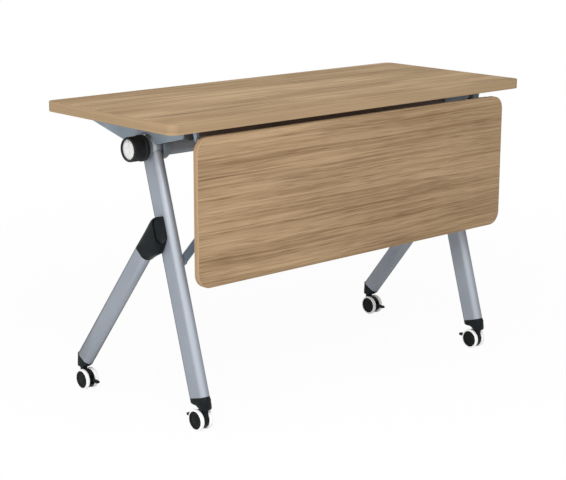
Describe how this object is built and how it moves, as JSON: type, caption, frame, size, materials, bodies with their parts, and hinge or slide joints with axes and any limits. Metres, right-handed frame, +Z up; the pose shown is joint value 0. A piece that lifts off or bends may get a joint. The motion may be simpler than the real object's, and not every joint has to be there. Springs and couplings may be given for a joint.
{
  "type": "flip top training table",
  "caption": "Training table with a wood-look top that flips up, a hung modesty panel, silver nesting legs with black joints, release knobs at the ends and braked casters.",
  "frame": {"origin": "on the floor under the middle of the top", "axes": "+X along the length of the top, +Y from the modesty panel to the user's side, +Z up"},
  "size_m": [1.2, 0.5, 0.75],
  "materials": {
    "wood": "satin laminate, grain along the length",
    "silver_tube": "satin silver powder coat",
    "silver_casting": "satin silver powder coat",
    "grey_casting": "satin grey powder coat",
    "grey_steel": "satin grey powder coat",
    "black_steel": "matte black powder coat",
    "bare_steel": "bright zinc",
    "black_plastic": "fine matte texture",
    "white_plastic": "smooth",
    "white_tread": "smooth soft tread"
  },
  "bodies": {
    "frame": {"cross_beam": "silver_tube", "front_leg_left": "silver_tube", "front_leg_right": "silver_tube", "rear_leg_left": "silver_tube", "rear_leg_right": "silver_tube", "leg_head_left": "silver_casting", "leg_head_right": "silver_casting", "leg_bolt_left": "bare_steel", "leg_bolt_right": "bare_steel", "leg_joint_left": "black_plastic", "leg_joint_right": "black_plastic", "brace_left": "silver_tube", "brace_right": "silver_tube", "front_boot_left": "black_plastic", "front_boot_right": "black_plastic", "rear_boot_left": "black_plastic", "rear_boot_right": "black_plastic"},
    "top": {"table_top": "wood", "top_edge_band": "wood", "top_stretcher": "black_steel", "flip_bracket_left": "grey_casting", "flip_bracket_right": "grey_casting", "panel_hanger_left": "grey_steel", "panel_hanger_right": "grey_steel"},
    "panel": {"modesty_panel": "wood", "panel_edge_band": "wood", "panel_hinge_left": "grey_steel", "panel_hinge_right": "grey_steel"},
    "release": {"release_rod": "bare_steel", "knob_left": "black_plastic", "knob_right": "black_plastic", "knob_disc_left": "white_plastic", "knob_disc_right": "white_plastic"},
    "lock_left": {"lock_pin_left": "bare_steel"},
    "lock_right": {"lock_pin_right": "bare_steel"},
    "caster_front_left": {"caster_fork_front_left": "black_plastic"},
    "wheel_front_left_a": {"wheel_hub_front_left_a": "black_plastic", "tyre_front_left_a": "white_tread"},
    "wheel_front_left_b": {"wheel_hub_front_left_b": "black_plastic", "tyre_front_left_b": "white_tread"},
    "brake_front_left": {"brake_lever_front_left": "black_plastic"},
    "caster_front_right": {"caster_fork_front_right": "black_plastic"},
    "wheel_front_right_a": {"wheel_hub_front_right_a": "black_plastic", "tyre_front_right_a": "white_tread"},
    "wheel_front_right_b": {"wheel_hub_front_right_b": "black_plastic", "tyre_front_right_b": "white_tread"},
    "brake_front_right": {"brake_lever_front_right": "black_plastic"},
    "caster_rear_left": {"caster_fork_rear_left": "black_plastic"},
    "wheel_rear_left_a": {"wheel_hub_rear_left_a": "black_plastic", "tyre_rear_left_a": "white_tread"},
    "wheel_rear_left_b": {"wheel_hub_rear_left_b": "black_plastic", "tyre_rear_left_b": "white_tread"},
    "brake_rear_left": {"brake_lever_rear_left": "black_plastic"},
    "caster_rear_right": {"caster_fork_rear_right": "black_plastic"},
    "wheel_rear_right_a": {"wheel_hub_rear_right_a": "black_plastic", "tyre_rear_right_a": "white_tread"},
    "wheel_rear_right_b": {"wheel_hub_rear_right_b": "black_plastic", "tyre_rear_right_b": "white_tread"},
    "brake_rear_right": {"brake_lever_rear_right": "black_plastic"}
  },
  "joints": [
    {"name": "top_flip", "type": "hinge", "parent": "frame", "child": "top", "pos_m": [0, -0.03, 0.661], "axis": [-1, 0, 0], "range_deg": [0, 90]},
    {"name": "panel_swing", "type": "hinge", "parent": "top", "child": "panel", "pos_m": [0, -0.215, 0.7], "axis": [-1, 0, 0], "range_deg": [-71, 0]},
    {"name": "knob_turn", "type": "hinge", "parent": "frame", "child": "release", "pos_m": [0, -0.03, 0.661], "axis": [1, 0, 0], "range_deg": [0, 45]},
    {"name": "lock_slide_left", "type": "slide", "parent": "frame", "child": "lock_left", "axis": [1, 0, 0], "range_m": [0, 0.01]},
    {"name": "lock_slide_right", "type": "slide", "parent": "frame", "child": "lock_right", "axis": [-1, 0, 0], "range_m": [0, 0.01]},
    {"name": "caster_swivel_front_left", "type": "hinge", "parent": "frame", "child": "caster_front_left", "pos_m": [-0.491, -0.22, 0.05], "axis": [0, 0, 1], "continuous": true},
    {"name": "wheel_roll_front_left_a", "type": "hinge", "parent": "caster_front_left", "child": "wheel_front_left_a", "pos_m": [-0.491, -0.206, 0.0265], "axis": [1, 0, 0], "continuous": true},
    {"name": "wheel_roll_front_left_b", "type": "hinge", "parent": "caster_front_left", "child": "wheel_front_left_b", "pos_m": [-0.491, -0.206, 0.0265], "axis": [1, 0, 0], "continuous": true},
    {"name": "brake_lift_front_left", "type": "hinge", "parent": "caster_front_left", "child": "brake_front_left", "pos_m": [-0.491, -0.192, 0.0275], "axis": [1, 0, 0], "range_deg": [0, 15]},
    {"name": "caster_swivel_front_right", "type": "hinge", "parent": "frame", "child": "caster_front_right", "pos_m": [0.491, -0.22, 0.05], "axis": [0, 0, 1], "continuous": true},
    {"name": "wheel_roll_front_right_a", "type": "hinge", "parent": "caster_front_right", "child": "wheel_front_right_a", "pos_m": [0.491, -0.206, 0.0265], "axis": [1, 0, 0], "continuous": true},
    {"name": "wheel_roll_front_right_b", "type": "hinge", "parent": "caster_front_right", "child": "wheel_front_right_b", "pos_m": [0.491, -0.206, 0.0265], "axis": [1, 0, 0], "continuous": true},
    {"name": "brake_lift_front_right", "type": "hinge", "parent": "caster_front_right", "child": "brake_front_right", "pos_m": [0.491, -0.192, 0.0275], "axis": [1, 0, 0], "range_deg": [0, 15]},
    {"name": "caster_swivel_rear_left", "type": "hinge", "parent": "frame", "child": "caster_rear_left", "pos_m": [-0.5204, 0.236, 0.05], "axis": [0, 0, 1], "continuous": true},
    {"name": "wheel_roll_rear_left_a", "type": "hinge", "parent": "caster_rear_left", "child": "wheel_rear_left_a", "pos_m": [-0.5204, 0.222, 0.0265], "axis": [1, 0, 0], "continuous": true},
    {"name": "wheel_roll_rear_left_b", "type": "hinge", "parent": "caster_rear_left", "child": "wheel_rear_left_b", "pos_m": [-0.5204, 0.222, 0.0265], "axis": [1, 0, 0], "continuous": true},
    {"name": "brake_lift_rear_left", "type": "hinge", "parent": "caster_rear_left", "child": "brake_rear_left", "pos_m": [-0.5204, 0.208, 0.0275], "axis": [-1, 0, 0], "range_deg": [0, 15]},
    {"name": "caster_swivel_rear_right", "type": "hinge", "parent": "frame", "child": "caster_rear_right", "pos_m": [0.5204, 0.236, 0.05], "axis": [0, 0, 1], "continuous": true},
    {"name": "wheel_roll_rear_right_a", "type": "hinge", "parent": "caster_rear_right", "child": "wheel_rear_right_a", "pos_m": [0.5204, 0.222, 0.0265], "axis": [1, 0, 0], "continuous": true},
    {"name": "wheel_roll_rear_right_b", "type": "hinge", "parent": "caster_rear_right", "child": "wheel_rear_right_b", "pos_m": [0.5204, 0.222, 0.0265], "axis": [1, 0, 0], "continuous": true},
    {"name": "brake_lift_rear_right", "type": "hinge", "parent": "caster_rear_right", "child": "brake_rear_right", "pos_m": [0.5204, 0.208, 0.0275], "axis": [-1, 0, 0], "range_deg": [0, 15]}
  ],
  "couplings": [
    {"joint": "panel_swing", "follows": "top_flip", "ratio": -0.78},
    {"joint": "lock_slide_left", "follows": "knob_turn", "m_per_rad": 0.0127},
    {"joint": "lock_slide_right", "follows": "knob_turn", "m_per_rad": 0.0127}
  ]
}
